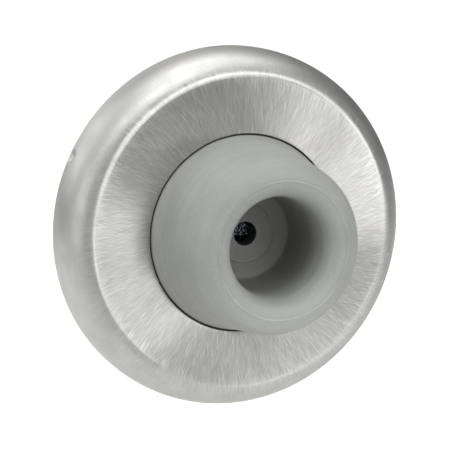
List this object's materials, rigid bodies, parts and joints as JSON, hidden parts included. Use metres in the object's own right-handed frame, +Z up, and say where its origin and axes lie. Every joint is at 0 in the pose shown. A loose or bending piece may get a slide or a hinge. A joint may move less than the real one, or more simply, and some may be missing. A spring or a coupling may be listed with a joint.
{
  "type": "concave wall door stop",
  "caption": "Round satin metal wall door stop with a dished cover, a hollow grey rubber nose for a knob or handle, a concealed screw and a wall plug.",
  "frame": {"origin": "centre of the cover cup's rear rim, on the wall's face", "axes": "+Z up on the wall, +Y into the wall along the common axis, -Y out to the room"},
  "size_m": [0.0636, 0.0613, 0.0636],
  "materials": {
    "satin_stainless": "satin: fine radial brushing on the dish, matt shoulder and skirt",
    "grey_rubber": "matt moulded",
    "zinc_plated_steel": "bright zinc plate on rolled sheet",
    "blackened_steel": "blue-black oxide with an oil film",
    "anchor_plastic": "moulded nylon"
  },
  "bodies": {
    "base": {"cover_cup": "satin_stainless", "retaining_plate": "zinc_plated_steel", "mounting_screw": "blackened_steel", "wall_anchor": "anchor_plastic"},
    "bumper": {"rubber_bumper": "grey_rubber"}
  },
  "joints": [
    {"name": "bumper_compress", "type": "slide", "parent": "base", "child": "bumper", "axis": [0, 1, 0], "range_m": [0, 0.002], "stiffness_N_per_m": 90000, "deforming": ["rubber_bumper"]}
  ]
}
